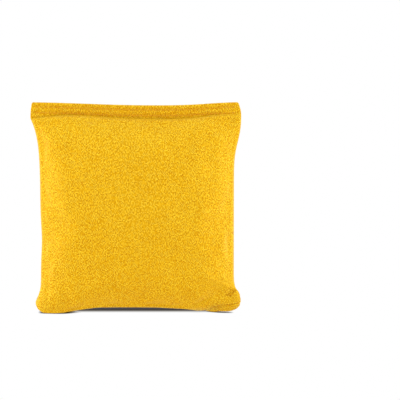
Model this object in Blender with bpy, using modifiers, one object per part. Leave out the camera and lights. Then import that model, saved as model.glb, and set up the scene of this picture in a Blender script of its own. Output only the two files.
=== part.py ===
"""A toss bean bag: two canvas panels sewn together round a fill of dried corn.

The bag stands on its lower corners with its closing hem at the top. X runs across the bag, Y from the
front panel to the back panel, and Z up from the floor. The origin is on the floor under the bag's middle.
Each panel is one sheet of canvas. Its face swells over the fill, its sides and bottom turn in at the seam
as a seam allowance, and its top runs up into the hem and turns in there.
"""

import math

import bmesh
import bpy
from mathutils import Vector

# The whole bag, in metres
BAG_WIDTH = 0.1524  # across the hem, from end to end
BAG_HEIGHT = 0.1545  # from the floor to the ends of the hem's top edge
BAG_DEPTH = 0.047  # from the front crown to the back crown
LAYER_GAP = 0.0003  # air between two layers that lie on each other

# Canvas
CANVAS = 0.0007  # thickness of the cloth
SEAM_ALLOWANCE = 0.009  # cloth turned in at the sides and the bottom
CORNER_CLIP = 0.016  # length of seam at each corner where the allowance is cut away
CLIP_SLOPE = 0.004  # how far the allowance's cut end leans
SEAM_SINK = 0.0012  # depth of the crease in which the seam lies
EDGE_ROLL = 0.0011  # how far the cloth rolls out from the seam before it swells

# Outline of the filled bag
WAIST_WIDTH = 0.1400  # across the middle, where the fill has drawn the sides in
FOOT_WIDTH = 0.1500  # across the lower corners
TOP_FLARE = 0.017  # how far below the hem the sides are drawn in
FOOT_FLARE = 0.011  # how far above the floor they are
CORNER_ROUND = 0.0018  # how far the lower corners' tips are rounded back
BOTTOM_LIFT = 0.0061  # how far the bottom seam rises between the corners
SETTLE = 0.0026  # how far the corners are pressed flat by the weight
DRAW_POWER_SHARE = 0.7  # below 1 the bottom draws in quickly beside a corner
TOP_FLARE_POWER = 1.3
FOOT_FLARE_POWER = 1.6
TIP_POWER = 22  # the higher, the smaller the rounded tip

# Section of the filled bag
LOW_CROWN_POWER_SHARE = 0.5  # below 1 the settled fill makes the lower half plump
HIGH_CROWN_POWER_SHARE = 0.75
LOW_SIDE_POWER_SHARE = 0.58
HIGH_SIDE_POWER_SHARE = 0.78
TOP_SLACK_SHARE = 0.14  # how much thinner the bag is at the top, where the fill has sunk away

# How the filled bag slumps: its lower right corner bends forward, and its top right corner is half empty
FOLD_HEIGHT = 0.027  # up to here the corner bends
FOLD_TURN = math.radians(72)  # how far it has turned at the bottom seam
FOLD_FORWARD_SHARE = 0.5  # how much of that bend's way forward it goes
FOLD_THIN_SHARE = 0.15  # how much flatter the bend draws the cloth behind it
FOLD_WIDTH = 0.040  # from the side in to where the fold begins
FOLD_FULL_WIDTH = 0.007  # from the side in to where it has its full turn
SLACK_WIDTH = 0.032  # from the waist's side in to where the slack begins
SLACK_DROP = 0.040  # from the hem down to where it begins
CORNER_SLACK_SHARE = 0.55  # how much thinner that makes the corner

# Closing hem
HEM_HEIGHT = 0.010
HEM_LEAN_SHARE = 0.2  # how far the hem leans forward for each length of its height
HEM_LEAN_START = 0.0016  # how far below the hem that begins
HEM_STRAIGHT_WIDTH = 0.024  # at its right end the hem comes upright again over this length
HEM_TURN_IN = 0.0085  # height of the layer turned in
HEM_DIP = 0.0021  # how far the hem sags in the middle
HEM_TAPER = 0.0017  # how far the hem's ends lean in at the top
HEM_TAPER_POWER = 3  # the higher, the rounder the hem's top corners
HEM_ROWS = 3  # bands of faces up the hem

# Thread and stitches
THREAD = 0.0005  # diameter of the hem's thread
SEAM_THREAD = 0.0004  # diameter of the thread in the seams
STITCH = 0.0032  # length of one stitch
STITCH_RISE = 0.0002  # how far a stitch arches off the cloth
HEM_UPPER_ROW = 0.0027  # from the hem's top edge down to the upper row
HEM_LOWER_ROW = 0.0068
HEM_ROW_MARGIN = 0.0016  # from the end of a row to the end of the hem
INNER_ROW = 0.0045  # from the seam to the second row, on the allowance
INNER_ROW_MARGIN = 0.004  # from the end of that row to the end of the allowance

# Fill
FILL_INSET = 0.003  # from the seam to the rim of the fill
FILL_SLACK = 0.0004  # air between the crown of the fill and the canvas
CUT_OVERRUN = 0.01  # how far a cutter runs past what it cuts
SLOT_GAP = 0.0006  # air round the allowance and its thread

# Faces
ACROSS_STEPS = 14  # over half the width
UP_STEPS = 20
BEVEL_SIDES = 0  # a thread's section has four sides plus two for each one here
MERGE = 0.00001
FOLD_CUTS = 10  # lines of faces that the fill gets across the folded corner, and as many up it

SEAM_PLANE = LAYER_GAP / 2 + CANVAS / 2  # depth of the allowance's middle
EDGE_DEPTH = SEAM_PLANE + EDGE_ROLL  # depth of the face at its edge
HEM_PLANE = SEAM_PLANE + CANVAS + LAYER_GAP  # depth of the hem's outer layer
CROWN = BAG_DEPTH / 2 - CANVAS / 2 - EDGE_DEPTH  # how far the face swells past its edge
FRONT, BACK = -1, 1

COLOURS = {
    "canvas": ((0.86, 0.47, 0.018, 1.0), 0.92),
    "thread": ((0.72, 0.33, 0.012, 1.0), 0.7),
    "corn": ((0.80, 0.55, 0.18, 1.0), 0.6),
}


def swell(share):
    """0 at an edge and 1 in the middle, for a share that runs from -1 to 1 across the bag."""
    return max(0.0, 1 - share * share)


def half_width(up):
    """Half the width of the cloth at the height share up, from -1 at the bottom to 1 at the hem.

    The bag is drawn in to its waist, and flares out again towards the hem and towards its lower corners.
    """
    below_hem = (1 - up) / 2 * (BAG_HEIGHT - HEM_HEIGHT)
    above_floor = (1 + up) / 2 * (BAG_HEIGHT - HEM_HEIGHT)
    at_hem = (BAG_WIDTH - WAIST_WIDTH) / 2 * math.exp(-((below_hem / TOP_FLARE) ** TOP_FLARE_POWER))
    at_foot = (FOOT_WIDTH - WAIST_WIDTH) / 2 * math.exp(-((above_floor / FOOT_FLARE) ** FOOT_FLARE_POWER))
    return (WAIST_WIDTH - CANVAS) / 2 + at_hem + at_foot


def hem_half_width(rise):
    """Half the width of the hem at the share rise of its height, from 0 to 1 at its top edge."""
    return half_width(1) - HEM_TAPER * rise ** HEM_TAPER_POWER


def bottom_seam(across):
    return -SETTLE + BOTTOM_LIFT * swell(across) ** DRAW_POWER_SHARE


def hem_top(across):
    return BAG_HEIGHT - CANVAS / 2 - HEM_DIP * swell(across)


def hem_base(across):
    return hem_top(across) - HEM_HEIGHT


def outline(across, up, inset):
    """Place (x, z) of a point in the bag's plane, with the outline drawn in by inset."""
    x = across * (half_width(up) - inset)
    low = bottom_seam(across) + inset
    high = hem_base(across) - inset
    z = low + (high - low) * (up + 1) / 2
    if up < 0:
        tip = CORNER_ROUND * abs(across * up) ** TIP_POWER
        x -= math.copysign(tip, across)
        z += tip
    return x, z


def crown(across, up):
    """How much of the full crown the bag has at a point, from 0 at the edges to 1."""
    lower = (1 - up) / 2
    upward_power = LOW_CROWN_POWER_SHARE if up < 0 else HIGH_CROWN_POWER_SHARE
    sideways_power = HIGH_SIDE_POWER_SHARE + (LOW_SIDE_POWER_SHARE - HIGH_SIDE_POWER_SHARE) * lower
    slack = TOP_SLACK_SHARE * max(0.0, up)
    upward = swell(up) ** (upward_power / 2)
    sideways = swell(across) ** (sideways_power / 2)
    return upward * sideways * (1 - slack)


def smooth(share):
    """0 below 0, 1 above 1, and an even S between."""
    share = min(1.0, max(0.0, share))
    return share * share * (3 - 2 * share)


def slack_share(place):
    """How much of its thickness the bag lacks at a place, near its top right corner."""
    inward_from_side = WAIST_WIDTH / 2 - place.x
    below_hem = hem_base(0) - place.z
    return CORNER_SLACK_SHARE * smooth(1 - inward_from_side / SLACK_WIDTH) * smooth(1 - below_hem / SLACK_DROP)


def slackened(place):
    """The place of a point of a panel's face where the bag is slack. The seam and the hem stay."""
    swollen = max(0.0, abs(place.y) - EDGE_DEPTH)
    return Vector((place.x, place.y - math.copysign(swollen * slack_share(place), place.y), place.z))


def leaning(place):
    """The hem leans forward, less so at its right end."""
    across = place.x / (BAG_WIDTH / 2)
    above = max(0.0, place.z - hem_base(across) + HEM_LEAN_START)
    upright = smooth(1 - (BAG_WIDTH / 2 - place.x) / HEM_STRAIGHT_WIDTH)
    return place + Vector((0, FRONT * HEM_LEAN_SHARE * (1 - upright) * above, 0))


def folded(place):
    """The lower right corner bends forward round an arc, evenly from the fold's height down."""
    from_side = BAG_WIDTH / 2 - place.x
    turn = FOLD_TURN * smooth((FOLD_WIDTH - from_side) / (FOLD_WIDTH - FOLD_FULL_WIDTH))
    below = FOLD_HEIGHT - place.z
    if not turn or below <= 0:
        return place
    radius = FOLD_HEIGHT / turn
    angle = below / radius
    forward = FOLD_FORWARD_SHARE * radius * (1 - math.cos(angle))
    drop = radius * math.sin(angle)
    swollen = max(0.0, place.y - EDGE_DEPTH)
    depth = place.y - FOLD_THIN_SHARE * swollen * angle / FOLD_TURN
    y = depth * math.cos(angle) - forward
    z = FOLD_HEIGHT - drop - depth * math.sin(angle)
    return Vector((place.x, y, z))


def slumped(place):
    return folded(leaning(place))


def material(name):
    colour, roughness = COLOURS[name]
    made = bpy.data.materials.get(name) or bpy.data.materials.new(name)
    made.use_nodes = True
    surface = made.node_tree.nodes["Principled BSDF"]
    surface.inputs["Base Color"].default_value = colour
    surface.inputs["Roughness"].default_value = roughness
    surface.inputs["Metallic"].default_value = 0.0
    return made


def add_object(name, data, collection, finish=None):
    made = bpy.data.objects.new(name, data)
    collection.objects.link(made)
    if finish:
        data.materials.append(material(finish))
    return made


def add_mirror(piece, *axes):
    mirror = piece.modifiers.new("Mirror", "MIRROR")
    mirror.use_axis = tuple(axis in axes for axis in "XYZ")
    mirror.use_clip = True
    mirror.merge_threshold = MERGE


def half_grid(place):
    """A grid over the right half of the bag, from the middle to the side and from the bottom to the hem.

    Its lines are spaced by angle, so that they crowd towards the edges, where the cloth turns most.
    place(across, up) gives each point.
    """
    bm = bmesh.new()
    bmesh.ops.create_grid(bm, x_segments=ACROSS_STEPS, y_segments=UP_STEPS, size=1)
    for vertex in bm.verts:
        across = math.sin((vertex.co.x + 1) / 2 * math.pi / 2)
        up = math.sin(vertex.co.y * math.pi / 2)
        vertex.co = place(across, up)
    return bm


def edge_loop(bm):
    """The grid's open edge from the bottom's middle out to the side and up to the hem, in order."""
    bm.verts.ensure_lookup_table()
    columns, rows = ACROSS_STEPS + 1, UP_STEPS + 1
    bottom = [bm.verts[i] for i in range(columns)]
    side = [bm.verts[columns * row + columns - 1] for row in range(1, rows)]
    top = [bm.verts[columns * (rows - 1) + i] for i in range(columns)]
    return bottom + side, top


def inward(points):
    """The direction into the bag, in its plane, at each point of the open edge."""
    directions = []
    for i, point in enumerate(points):
        before = points[i - 1] if i else Vector((-points[1].x, 0, points[1].z))
        after = points[min(i + 1, len(points) - 1)]
        along = after - before
        directions.append(Vector((-along.z, 0, along.x)).normalized())
    return directions


def distances_along(points):
    travelled = [0.0]
    for before, after in zip(points, points[1:]):
        travelled.append(travelled[-1] + (after - before).length)
    return travelled


def extend(bm, vertices, places):
    """A strip of faces from a row of vertices to new ones at places."""
    row = [bm.verts.new(place) for place in places]
    for i in range(len(row) - 1):
        bm.faces.new((vertices[i], vertices[i + 1], row[i + 1], row[i]))
    return row


def allowance_widths(points):
    """How wide the seam allowance is at each point of the edge: None where the corners are clipped."""
    travelled = distances_along(points)
    corner = travelled[ACROSS_STEPS]
    top = travelled[-1]
    widths = []
    for distance in travelled:
        room = min(abs(distance - corner), top - distance) - CORNER_CLIP
        if room < 0:
            widths.append(None)
        else:
            lean = min(1.0, room / CLIP_SLOPE)
            widths.append(SEAM_ALLOWANCE * (1 + lean) / 2)
    return widths


def add_allowance(bm, edge):
    """Turns the cloth in at the crease, and then along the seam plane as the allowance."""
    points = [vertex.co.copy() for vertex in edge]
    normals = inward(points)
    side = math.copysign(1, points[0].y)
    seam = [point + normal * SEAM_SINK for point, normal in zip(points, normals)]
    for place in seam:
        place.y = side * SEAM_PLANE
    seam[0].x = 0
    crease = extend(bm, edge, seam)
    widths = allowance_widths(points)
    kept = [i for i, width in enumerate(widths) if width is not None]
    runs = [
        [i for i in kept if i <= ACROSS_STEPS],
        [i for i in kept if i > ACROSS_STEPS],
    ]
    for run in runs:
        row = [crease[i] for i in run]
        for share in (INNER_ROW / SEAM_ALLOWANCE, 1):
            places = [seam[i] + normals[i] * widths[i] * share for i in run]
            if run[0] == 0:
                places[0].x = 0
            row = extend(bm, row, places)


def add_hem(bm, top, side):
    """Runs the cloth up into the hem, over its top and down again inside it."""
    row = top
    shares = [vertex.co.x / top[-1].co.x for vertex in top]
    for band in range(1, HEM_ROWS + 1):
        rise = band / HEM_ROWS
        end = hem_half_width(rise)
        places = [
            Vector((end * share, side * HEM_PLANE, hem_base(share) + HEM_HEIGHT * rise))
            for share in shares
        ]
        row = extend(bm, row, places)
    turned = [
        Vector((vertex.co.x, side * SEAM_PLANE, vertex.co.z)) for vertex in row
    ]
    inner = extend(bm, row, turned)
    lowered = [vertex.co - Vector((0, 0, HEM_TURN_IN)) for vertex in inner]
    extend(bm, inner, lowered)


def make_real(piece):
    """Turns what a piece's modifiers make into its own mesh."""
    graph = bpy.context.evaluated_depsgraph_get()
    solid = bpy.data.meshes.new_from_object(piece.evaluated_get(graph))
    piece.modifiers.clear()
    piece.data = solid


def slump(piece, lowest):
    """Moves a piece's points with the slumped bag, and none lower than the height lowest."""
    for vertex in piece.data.vertices:
        place = slumped(vertex.co)
        vertex.co = (place.x, place.y, max(place.z, lowest))


def triangulated(piece):
    """Splits a piece's faces alike on both panels, so that layers that bend together stay apart."""
    bm = bmesh.new()
    bm.from_mesh(piece.data)
    bmesh.ops.triangulate(bm, faces=bm.faces, quad_method="SHORT_EDGE")
    bm.to_mesh(piece.data)
    bm.free()


def press_on_floor(piece):
    """Flattens what the cloth's thickness left just over or under the floor."""
    for vertex in piece.data.vertices:
        if vertex.co.z < CANVAS / 4:
            vertex.co.z = 0


def make_panel(name, side, collection):
    """One canvas panel: its face, seam allowance and hem as one sheet."""

    def place(across, up):
        x, z = outline(across, up, 0)
        y = side * (EDGE_DEPTH + CROWN * crown(across, up))
        return Vector((x, y, max(z, CANVAS / 2)))

    bm = half_grid(place)
    edge, top = edge_loop(bm)
    add_allowance(bm, edge)
    add_hem(bm, top, side)
    bmesh.ops.recalc_face_normals(bm, faces=bm.faces)
    mesh = bpy.data.meshes.new(name)
    bm.to_mesh(mesh)
    bm.free()
    panel = add_object(name, mesh, collection, "canvas")
    add_mirror(panel, "X")
    make_real(panel)
    triangulated(panel)
    for vertex in panel.data.vertices:
        vertex.co = slackened(vertex.co)
    slump(panel, CANVAS / 2)
    cloth = panel.modifiers.new("Cloth thickness", "SOLIDIFY")
    cloth.thickness = CANVAS
    cloth.offset = 0
    make_real(panel)
    press_on_floor(panel)
    panel.data.shade_smooth()
    panel.data.set_sharp_from_angle(angle=math.radians(50))
    return panel


def add_cutter(name, low, high, collection):
    """A box between two corners."""
    bm = bmesh.new()
    bmesh.ops.create_cube(bm, size=1)
    for vertex in bm.verts:
        vertex.co = [
            (a + b) / 2 + share * (b - a) for share, a, b in zip(vertex.co, low, high)
        ]
    mesh = bpy.data.meshes.new(name)
    bm.to_mesh(mesh)
    bm.free()
    cutter = add_object(name, mesh, collection)
    cutter.hide_render = True
    cutter.display_type = "WIRE"
    return cutter


def slot_cutters(collection):
    """Boxes round the seam allowance and its thread, at both sides and the bottom."""
    half_slot = SEAM_PLANE + CANVAS / 2 + LAYER_GAP + SEAM_THREAD + SLOT_GAP
    reach = SEAM_SINK + SEAM_ALLOWANCE + SLOT_GAP
    inner_x = half_width(0) - reach
    outer_x = BAG_WIDTH / 2 + CUT_OVERRUN
    top_z = bottom_seam(0) + reach
    low_z = -SETTLE - CUT_OVERRUN
    high_z = BAG_HEIGHT + CUT_OVERRUN
    return [
        add_cutter("slot_left", (-outer_x, -half_slot, low_z), (-inner_x, half_slot, high_z), collection),
        add_cutter("slot_right", (inner_x, -half_slot, low_z), (outer_x, half_slot, high_z), collection),
        add_cutter("slot_bottom", (-outer_x, -half_slot, low_z), (outer_x, half_slot, top_z), collection),
    ]


def cut_into_faces(piece):
    """Lays lines of faces across and up the corner that is to be folded."""
    bm = bmesh.new()
    bm.from_mesh(piece.data)
    for cut in range(FOLD_CUTS):
        share = cut / FOLD_CUTS
        across = Vector((BAG_WIDTH / 2 - FOLD_WIDTH * share, 0, 0))
        up = Vector((0, 0, FOLD_HEIGHT * (1 - share)))
        for place, direction in ((across, Vector((1, 0, 0))), (up, Vector((0, 0, 1)))):
            everything = bm.verts[:] + bm.edges[:] + bm.faces[:]
            bmesh.ops.bisect_plane(bm, geom=everything, plane_co=place, plane_no=direction, dist=MERGE)
    bmesh.ops.triangulate(bm, faces=bm.faces)
    bm.to_mesh(piece.data)
    bm.free()


def make_fill(collection, cutters):
    """The corn as one body that swells as the panels do, slotted for the seam allowances."""
    thickest = EDGE_DEPTH + CROWN - CANVAS / 2 - FILL_SLACK

    def place(across, up):
        x, z = outline(across, up, FILL_INSET)
        y = FRONT * thickest * crown(across, up)
        return Vector((x, y, max(z, CANVAS + LAYER_GAP)))

    bm = half_grid(place)
    bmesh.ops.recalc_face_normals(bm, faces=bm.faces)
    mesh = bpy.data.meshes.new("corn_fill")
    bm.to_mesh(mesh)
    bm.free()
    fill = add_object("corn_fill", mesh, collection, "corn")
    add_mirror(fill, "X", "Y")
    make_real(fill)
    for vertex in fill.data.vertices:
        vertex.co.y *= 1 - slack_share(vertex.co)
    for cutter in slot_cutters(cutters):
        slot = fill.modifiers.new(cutter.name, "BOOLEAN")
        slot.operation = "DIFFERENCE"
        slot.object = cutter
    make_real(fill)
    cut_into_faces(fill)
    slump(fill, CANVAS + LAYER_GAP)
    return fill


def make_thread(name, points, diameter, collection):
    """A thread through points of the even bag, which it follows as the bag slumps."""
    curve = bpy.data.curves.new(name, "CURVE")
    curve.dimensions = "3D"
    curve.bevel_depth = diameter / 2
    curve.bevel_resolution = BEVEL_SIDES
    curve.use_fill_caps = True
    spline = curve.splines.new("POLY")
    spline.points.add(len(points) - 1)
    for spot, point in zip(spline.points, points):
        spot.co = (*slumped(point), 1)
    return add_object(name, curve, collection, "thread")


def make_hem_threads(collection):
    """Two rows of lockstitch through the hem: a needle thread in front of each and a bobbin thread behind."""
    rest = HEM_PLANE + CANVAS / 2 + LAYER_GAP + THREAD / 2
    reach = hem_half_width(1) - HEM_ROW_MARGIN
    stitches = max(1, round(2 * reach / STITCH))
    rows = {"upper": HEM_UPPER_ROW, "lower": HEM_LOWER_ROW}
    kinds = {"needle": FRONT, "bobbin": BACK}
    for row, drop in rows.items():
        for kind, side in kinds.items():
            points = []
            for half in range(2 * stitches + 1):
                share = half / stitches - 1
                rise = STITCH_RISE * (half % 2)
                points.append(
                    Vector((share * reach, side * (rest + rise), hem_top(share) - drop))
                )
            make_thread(f"hem_{row}_{kind}_thread", points, THREAD, collection)


def seam_edge():
    """The right half of the face's open edge: points from the bottom's middle to the hem."""
    bm = half_grid(
        lambda across, up: Vector((*outline(across, up, 0), 0)).xzy
    )
    edge, _ = edge_loop(bm)
    points = [vertex.co.copy() for vertex in edge]
    bm.free()
    for point in points:
        point.z = max(point.z, CANVAS / 2)
    return points


def make_crease_thread(collection):
    """The first row of the seam, as it shows in the crease, from one end of the hem's base to the other."""
    points = seam_edge()
    seat = SEAM_SINK - CANVAS / 2 - LAYER_GAP - SEAM_THREAD / 2
    laid = [point + normal * seat for point, normal in zip(points, inward(points))]
    laid[0].x = 0
    mirrored = [Vector((-point.x, 0, point.z)) for point in reversed(laid[1:])]
    make_thread("seam_crease_thread", mirrored + laid, SEAM_THREAD, collection)


def make_inner_threads(collection):
    """The second row of the seam, on the allowance at each side and along the bottom."""
    points = seam_edge()
    normals = inward(points)
    distances = distances_along(points)
    row = [p + n * (SEAM_SINK + INNER_ROW) for p, n in zip(points, normals)]
    row[0].x = 0
    corner = distances[ACROSS_STEPS]
    clear = CORNER_CLIP + INNER_ROW_MARGIN
    half_bottom = [p for p, distance in zip(row, distances) if distance <= corner - clear]
    right = [p for p, distance in zip(row, distances) if corner + clear <= distance <= distances[-1] - clear]
    bottom = [Vector((-p.x, 0, p.z)) for p in reversed(half_bottom[1:])] + half_bottom
    left = [Vector((-p.x, 0, p.z)) for p in right]
    rest = SEAM_PLANE + CANVAS / 2 + LAYER_GAP + SEAM_THREAD / 2
    for place, line in {"left": left, "bottom": bottom, "right": right}.items():
        for kind, side in {"needle": FRONT, "bobbin": BACK}.items():
            laid = [Vector((p.x, side * rest, p.z)) for p in line]
            make_thread(f"{place}_seam_{kind}_thread", laid, SEAM_THREAD, collection)


def main():
    for old in list(bpy.data.objects):
        bpy.data.objects.remove(old)
    bag = bpy.data.collections.new("toss_bean_bag")
    cutters = bpy.data.collections.new("cutters")
    bpy.context.scene.collection.children.link(bag)
    bpy.context.scene.collection.children.link(cutters)
    make_panel("front_panel", FRONT, bag)
    make_panel("back_panel", BACK, bag)
    make_fill(bag, cutters)
    make_hem_threads(bag)
    make_crease_thread(bag)
    make_inner_threads(bag)


main()
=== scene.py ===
"""Looks of the toss bean bag: its canvas cover, its stitching and its corn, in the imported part's frame.

X runs across the bag, Y from the front panel to the back panel, and Z up from the floor, in metres.
Both panels are built in shares of the outline, swelled over the fill and settled by a cloth simulation.
Then the hem is leant forward, dents and lumps are added, and the lower right corner is bent forward.
"""

import math

import bpy
import numpy as np
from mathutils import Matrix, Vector


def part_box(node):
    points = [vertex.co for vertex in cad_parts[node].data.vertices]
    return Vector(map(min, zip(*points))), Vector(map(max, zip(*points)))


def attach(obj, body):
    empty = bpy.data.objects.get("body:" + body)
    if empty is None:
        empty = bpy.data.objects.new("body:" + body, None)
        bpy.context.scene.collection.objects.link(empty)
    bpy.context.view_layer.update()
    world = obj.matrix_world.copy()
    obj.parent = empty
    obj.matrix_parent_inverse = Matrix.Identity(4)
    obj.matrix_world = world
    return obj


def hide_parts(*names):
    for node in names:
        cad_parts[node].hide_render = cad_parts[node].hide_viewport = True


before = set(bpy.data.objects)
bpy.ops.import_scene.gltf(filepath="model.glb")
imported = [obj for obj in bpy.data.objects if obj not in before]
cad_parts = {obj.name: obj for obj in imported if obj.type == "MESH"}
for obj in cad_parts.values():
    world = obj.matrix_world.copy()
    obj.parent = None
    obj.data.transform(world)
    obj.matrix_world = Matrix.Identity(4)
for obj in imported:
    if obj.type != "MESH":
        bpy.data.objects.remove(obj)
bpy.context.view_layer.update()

panel_low, panel_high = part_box("front_panel")

FRONT, BACK = -1, 1
LEFT, RIGHT = -1, 1

# The bag, from the frame
HALF_WIDTH = float(panel_high[0])
TOP = float(panel_high[2])
DEPTH = -float(panel_low[1])  # from the seam to the front crown
LAYER_GAP = -2 * float(panel_high[1])

# Cloth
CANVAS = 0.0007
EDGE_ROLL = 0.0011  # how far the cloth rolls out from the seam before it swells
EDGE_BULGE = 0.00025  # how far that roll stands out past the edge of the face
EDGE_BULGE_DEPTH = 0.0005  # from the face's edge in to where it stands out most
EDGE_LIP = 0.00025  # how much further apart the panels are at the crease's mouth than at the seam
SEAM_SINK = 0.0012  # depth of the crease in which the seam lies
ALLOWANCE = 0.009  # cloth turned in past the seam
ALLOWANCE_SHARES = (0.33, 0.66, 1.0)
CORNER_CLIP = 0.016  # seam length at each corner without allowance
LEAST_CLEAR = 1e-6
SEAM_PLANE = (LAYER_GAP + CANVAS) / 2
EDGE_DEPTH = SEAM_PLANE + EDGE_ROLL
HEM_PLANE = SEAM_PLANE + CANVAS + LAYER_GAP
CROWN = DEPTH - EDGE_DEPTH

# Outline. Each side has its own waist and flares, because the fill lies unevenly
WAIST = {LEFT: 0.0700, RIGHT: 0.0707}  # half widths at the middle
HEM_FLARE = {LEFT: 0.0067, RIGHT: 0.0052}  # how much wider the bag is at the hem than at its waist
HEM_REACH = {LEFT: 0.0135, RIGHT: 0.0235}  # how far down that flare reaches
HEM_FLARE_POWER = {LEFT: 1.1, RIGHT: 2.7}
FOOT_FLARE = {LEFT: 0.0066, RIGHT: 0.0060}
FOOT_REACH = {LEFT: 0.0118, RIGHT: 0.0151}
FOOT_FLARE_POWER = {LEFT: 2.2, RIGHT: 2.8}
SIDE_HOLLOW = {LEFT: 0.0009, RIGHT: 0.0}  # a shallow hollow low in the side
SIDE_HOLLOW_HEIGHT = 0.054
SIDE_HOLLOW_REACH = 0.014
CORNER_ROUND = 0.0010
TIP_POWER = 22
TIP_LIFT = {LEFT: 0.0088, RIGHT: 0.0063}  # how far the bottom seam rises again to each corner's tip
TIP_START_SHARE = 0.86
TIP_LIFT_POWER = 2
BOTTOM_PLACES = (-1.0, -0.95, -0.9, -0.86, -0.79, -0.68, -0.53, -0.38, -0.17, 0.0,
                 0.19, 0.34, 0.55, 0.65, 0.74, 0.82, 0.9, 0.95, 1.0)
# Height of the bottom seam at those places. Below 0 it is pressed flat
BOTTOM_HEIGHTS = (-0.0026, -0.0012, -0.0004, -0.0004, -0.0005, 0.0005, 0.0025, 0.0040, 0.0041, 0.0041,
                  0.0040, 0.0034, 0.0026, 0.0021, 0.0014, 0.0006, -0.0004, -0.0012, -0.0026)
BOTTOM_EASE = 0.03

# Section
LOW_CROWN_POWER_SHARE = 0.5
HIGH_CROWN_POWER_SHARE = 0.60
LOW_SIDE_POWER_SHARE = 0.58
HIGH_SIDE_POWER_SHARE = 0.78
TOP_SLACK_SHARE = 0.14
CORNER_SLACK_SHARE = 0.55  # how much flatter the bag is at its top right corner
CORNER_SLACK_START_SHARES = (0.55, 0.45)  # across and up

# Hem: how far its top edge sags and how high it is, at places across the bag
HEM_PLACES = (-1.0, -0.85, -0.7, -0.5, -0.25, 0.0, 0.3, 0.5, 0.65, 0.8, 0.9, 1.0)
HEM_DIPS = (0.0, 0.0001, 0.0004, 0.0009, 0.0016, 0.0020, 0.0021, 0.0018, 0.0012, 0.0005, 0.0002, 0.0)
HEM_HEIGHTS = (0.0112, 0.0098, 0.0084, 0.0081, 0.0089, 0.0092, 0.0094, 0.0092, 0.0087, 0.0079, 0.0080, 0.0086)
HEM_EASE = 0.09  # how far those values blend into each other, as a share of half the width
EASE_STEPS = 9
HEM_TURN_IN = 0.0085
HEM_TURN_IN_STEPS = 4
HEM_FOLD_STEPS = 5
HEM_FOLD_RISE_SHARE = 0.7  # how high its top fold stands, next to a round one
HEM_LEAN_SLOPES = (0.1, 0.15, 0.19, 0.2, 0.2, 0.21, 0.22, 0.2, 0.17, 0.1, 0.03, 0.0)
HEM_LEAN_START = 0.0010  # how far below the hem's base it begins to lean forward
HEM_CURL = 0.0029  # how far it curls forward out of the crease where it leans most
HEM_CURL_REACH = 0.0036  # how high that takes
HEM_TAPER = {LEFT: 0.0012, RIGHT: 0.0020}
HEM_TAPER_POWER = 1.8
HEM_PULL = 0.0005  # how far each row of stitches pulls the hem in
HEM_PULL_WIDTH = 0.0013
UPPER_ROW, LOWER_ROW = 0.0027, 0.0069  # from the hem's top edge down to each row
ROW_MARGIN = 0.0016

# Stitches
THREAD = 0.0005
STITCH = 0.0032
STITCH_GAP = 0.0006  # from one stitch to the next, where the thread dips into the cloth
STITCH_RISE = 0.00012
STITCH_DIP_SHARE = 0.6
STITCH_ARCH_POWER = 0.6  # the lower, the flatter a stitch lies
STITCH_POINTS, SEAM_STITCH_POINTS = 7, 5
THREAD_SIDES, SEAM_THREAD_SIDES = 8, 6
THREAD_END_SHARE = 0.55  # how thick a stitch is at its ends
THREAD_TWIST_SHARE = 0.35  # of a turn along a stitch
STEEP_SHARE = 0.9  # a thread as steep as this needs another direction to start its ring of points from
SEAM_THREAD = 0.0004
SEAM_STITCH = 0.0022
SEAM_STITCH_SINK_SHARE = 0.55  # how deep in the crease a stitch lies
SEAM_STITCH_DIP = 0.0005  # how much deeper its ends lie
INNER_DIP_POWER = 4
SEAM_PITCH = 0.0032
INNER_ROW = 0.0045  # from the seam to its second row
# Each stretch of that row, in shares of the way round the edge
INNER_ROWS = {"left": (0.06, 0.30), "bottom": (0.385, 0.615), "right": (0.70, 0.94)}

# The folded corner: below this height the bag bends forward, so that its bottom seam comes to the front
FOLD_HEIGHT = 0.027
FOLD_TURN = math.radians(72)  # at the bottom seam
FOLD_START, FOLD_END = 0.034, 0.064  # from the middle of the bag
FOLD_FORWARD_SHARE = 0.5  # how much of that bend's way forward it goes
FOLD_THIN_SHARE = 0.15  # how much flatter the bend draws the cloth behind it
LEAST_TURN = 1e-6  # so that the part that isn't bent has an arc too, if a very wide one

# Dents in the front panel: place (x, z), direction, half length, half width, depth
DENTS = (
    ((0.0688, 0.0074), math.radians(70), 0.0054, 0.0028, 0.0042),
    ((0.0722, 0.0074), math.radians(70), 0.0052, 0.0011, -0.0008),
    ((-0.0650, 0.0180), math.radians(88), 0.0090, 0.0013, 0.0005),
    ((0.0470, 0.0150), math.radians(30), 0.0120, 0.0030, 0.0005),
)
DENT_POWER = 4  # the higher, the steeper a dent's sides

# Ridge in the front cloth just above the bottom seam
RIDGE_HEIGHT = 0.0007
RIDGE_PLACE, RIDGE_WIDTH = 0.0013, 0.0008  # up from the seam

# Shelf just below the hem, where the cloth turns out of the crease
SHELF_HEIGHT = 0.0008
SHELF_PLACE, SHELF_WIDTH = 0.0024, 0.0012  # down from the hem's base

# Lip of the front cloth over the seam at the folded corner, and hollow of the back cloth under it
LIP_DEPTH = 0.0036
LIP_PLACE, LIP_WIDTH = -0.0020, 0.0011  # forward of the seam
HOLLOW_HEIGHT = 0.0042
HOLLOW_PLACE, HOLLOW_WIDTH = 0.0016, 0.0014  # back from the seam
LIP_MIDDLE, LIP_REACH = 0.055, 0.012  # across the bag
LIP_RISE = 0.008  # how far up both fade

# Lumps of the fill under the cloth: waves with (shortest, longest) length and total height, seeded
LUMP_WAVES = 40
LUMP_LENGTHS = (0.011, 0.034)
LUMP_HEIGHT = 0.00035
LUMP_DEPTH = 0.010  # depth at which the lumps have their full height, none at the seam
LUMP_SEED = 11

FLOOR_BLEND = 0.0003  # how softly the cloth meets the floor

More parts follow.
